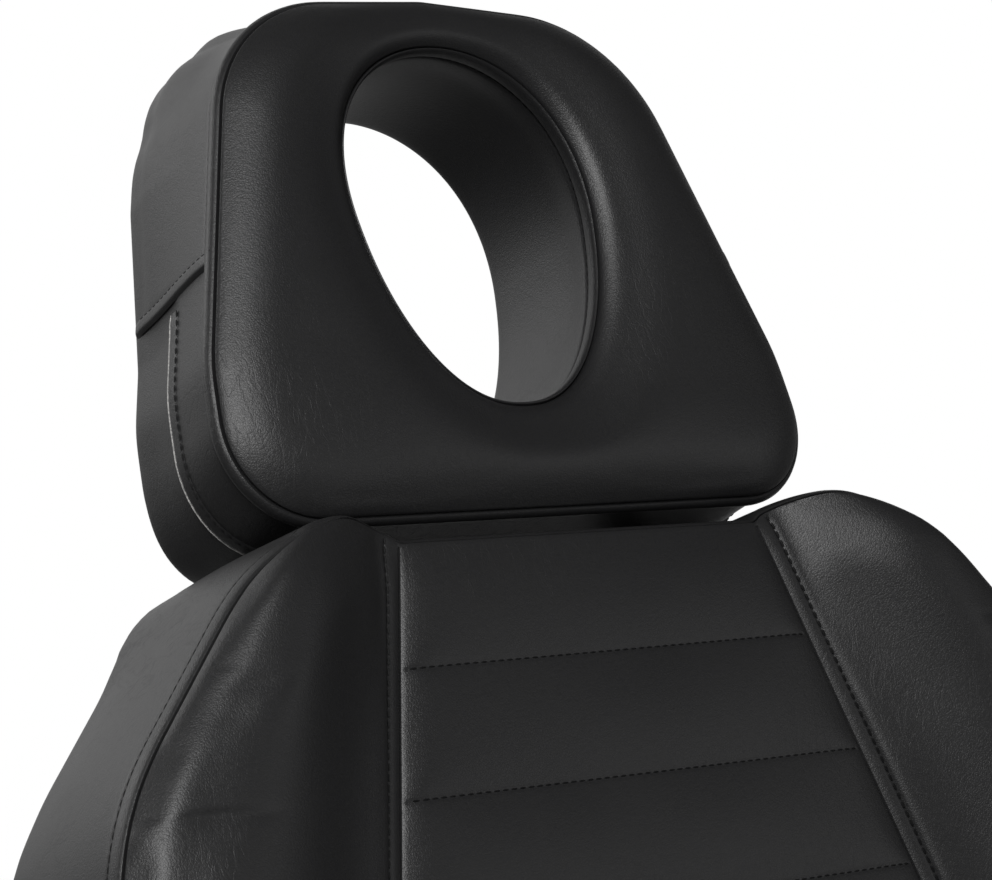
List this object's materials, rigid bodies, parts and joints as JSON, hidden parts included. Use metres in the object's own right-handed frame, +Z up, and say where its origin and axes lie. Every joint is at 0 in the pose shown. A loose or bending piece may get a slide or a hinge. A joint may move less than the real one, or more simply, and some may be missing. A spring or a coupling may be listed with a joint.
{
  "type": "tattoo chair",
  "caption": "Hydraulic tattoo chair in black upholstery: reclining channelled back, headrest with a face hole, split leg rests, swinging armrests, swivel seat and round base.",
  "frame": {"origin": "on the floor, on the swivel and lift axis, at the centre of the base plate's underside", "axes": "+Z up along the lift axis; the sitter faces -Y; +X is the sitter's left, where the release lever is"},
  "size_m": [0.81, 1.2537, 1.4271],
  "materials": {
    "black_leather": "satin, fine grain",
    "black_steel": "satin powder coat",
    "chrome": "polished",
    "bright_steel": "brushed",
    "plywood": "raw",
    "black_plastic": "moulded",
    "black_rubber": "matt"
  },
  "bodies": {
    "base": {"base_plate": "black_steel", "pump_cylinder": "black_steel", "ram_gland": "chrome", "pedal_bracket": "black_steel", "pedal_pin": "bright_steel"},
    "pedal": {"foot_pedal": "chrome", "pedal_pad": "black_rubber"},
    "ram": {"lift_ram": "chrome", "swivel_bearing": "bright_steel"},
    "seat": {"swivel_hub": "black_steel", "swivel_plate": "black_steel", "cross_tube_front": "black_steel", "cross_tube_middle": "black_steel", "cross_tube_rear": "black_steel", "seat_rail_left": "black_steel", "seat_rail_right": "black_steel", "seat_board": "plywood", "seat_cushion": "black_leather", "back_hinge_pin_left": "bright_steel", "back_hinge_pin_right": "bright_steel", "leg_hinge_pin_left": "bright_steel", "leg_hinge_pin_right": "bright_steel", "leg_ratchet_left": "black_plastic", "leg_ratchet_right": "black_plastic", "gas_cylinder": "black_steel", "gas_anchor": "black_steel", "arm_socket_left": "black_steel", "arm_socket_right": "black_steel"},
    "back": {"back_tube_left": "black_steel", "back_tube_right": "black_steel", "back_cross_lower": "black_steel", "back_cross_upper": "black_steel", "back_board": "plywood", "back_cushion": "black_leather", "crank_pin": "bright_steel"},
    "gas_rod": {"gas_rod": "chrome"},
    "headrest": {"headrest_board": "plywood", "headrest_cushion": "black_leather", "headrest_post_left": "bright_steel", "headrest_post_right": "bright_steel"},
    "recline_lever": {"recline_lever": "chrome", "recline_grip": "black_rubber"},
    "headrest_knob_left": {"headrest_knob_left": "black_plastic"},
    "leg_left": {"leg_frame_left": "black_steel", "leg_board_left": "plywood", "leg_cushion_left": "black_leather"},
    "arm_post_left": {"arm_post_left": "chrome"},
    "arm_top_left": {"arm_board_left": "plywood", "arm_pad_left": "black_leather"},
    "arm_knob_left": {"arm_knob_left": "black_plastic"},
    "headrest_knob_right": {"headrest_knob_right": "black_plastic"},
    "leg_right": {"leg_frame_right": "black_steel", "leg_board_right": "plywood", "leg_cushion_right": "black_leather"},
    "arm_post_right": {"arm_post_right": "chrome"},
    "arm_top_right": {"arm_board_right": "plywood", "arm_pad_right": "black_leather"},
    "arm_knob_right": {"arm_knob_right": "black_plastic"}
  },
  "joints": [
    {"name": "pedal_pump", "type": "hinge", "parent": "base", "child": "pedal", "pos_m": [0.088, 0, 0.1243], "axis": [0, 1, 0], "range_deg": [0, 14], "stiffness_Nm_per_rad": 4, "springref_deg": -22.92},
    {"name": "lift", "type": "slide", "parent": "base", "child": "ram", "axis": [0, 0, 1], "range_m": [0, 0.15]},
    {"name": "swivel", "type": "hinge", "parent": "ram", "child": "seat", "pos_m": [0, 0, 0.35], "axis": [0, 0, 1], "continuous": true},
    {"name": "recline", "type": "hinge", "parent": "seat", "child": "back", "pos_m": [0, 0.235, 0.515], "axis": [1, 0, 0], "range_deg": [-68, 6]},
    {"name": "gas_spring_stroke", "type": "slide", "parent": "seat", "child": "gas_rod", "axis": [0, 1, 0], "range_m": [-0.09, 0.01]},
    {"name": "headrest_height", "type": "slide", "parent": "back", "child": "headrest", "axis": [0, 0.3675, 0.93], "range_m": [0, 0.1]},
    {"name": "recline_release", "type": "hinge", "parent": "seat", "child": "recline_lever", "pos_m": [0.1829, 0.08, 0.4497], "axis": [1, 0, 0], "range_deg": [0, 18], "stiffness_Nm_per_rad": 0.6, "springref_deg": -20.05},
    {"name": "headrest_clamp_left", "type": "hinge", "parent": "back", "child": "headrest_knob_left", "pos_m": [0.12, 0.52947, 1.05454], "axis": [0, -0.93, 0.3675], "continuous": true},
    {"name": "leg_lift_left", "type": "hinge", "parent": "seat", "child": "leg_left", "pos_m": [0.1676, -0.297, 0.515], "axis": [-1, 0, 0], "range_deg": [0, 60]},
    {"name": "arm_height_left", "type": "slide", "parent": "seat", "child": "arm_post_left", "axis": [0, 0, 1], "range_m": [0, 0.08]},
    {"name": "arm_swing_left", "type": "hinge", "parent": "arm_post_left", "child": "arm_top_left", "pos_m": [0.355, -0.03, 0.712], "axis": [0, 0, 1], "range_deg": [0, 90]},
    {"name": "arm_clamp_left", "type": "hinge", "parent": "seat", "child": "arm_knob_left", "pos_m": [0.3743, -0.03, 0.5197], "axis": [1, 0, 0], "continuous": true},
    {"name": "headrest_clamp_right", "type": "hinge", "parent": "back", "child": "headrest_knob_right", "pos_m": [-0.12, 0.52947, 1.05454], "axis": [0, -0.93, 0.3675], "continuous": true},
    {"name": "leg_lift_right", "type": "hinge", "parent": "seat", "child": "leg_right", "pos_m": [-0.1676, -0.297, 0.515], "axis": [-1, 0, 0], "range_deg": [0, 60]},
    {"name": "arm_height_right", "type": "slide", "parent": "seat", "child": "arm_post_right", "axis": [0, 0, 1], "range_m": [0, 0.08]},
    {"name": "arm_swing_right", "type": "hinge", "parent": "arm_post_right", "child": "arm_top_right", "pos_m": [-0.355, -0.03, 0.712], "axis": [0, 0, -1], "range_deg": [0, 90]},
    {"name": "arm_clamp_right", "type": "hinge", "parent": "seat", "child": "arm_knob_right", "pos_m": [-0.3743, -0.03, 0.5197], "axis": [-1, 0, 0], "continuous": true}
  ],
  "couplings": [
    {"joint": "gas_spring_stroke", "follows": "recline", "m_per_rad": 0.0706}
  ]
}
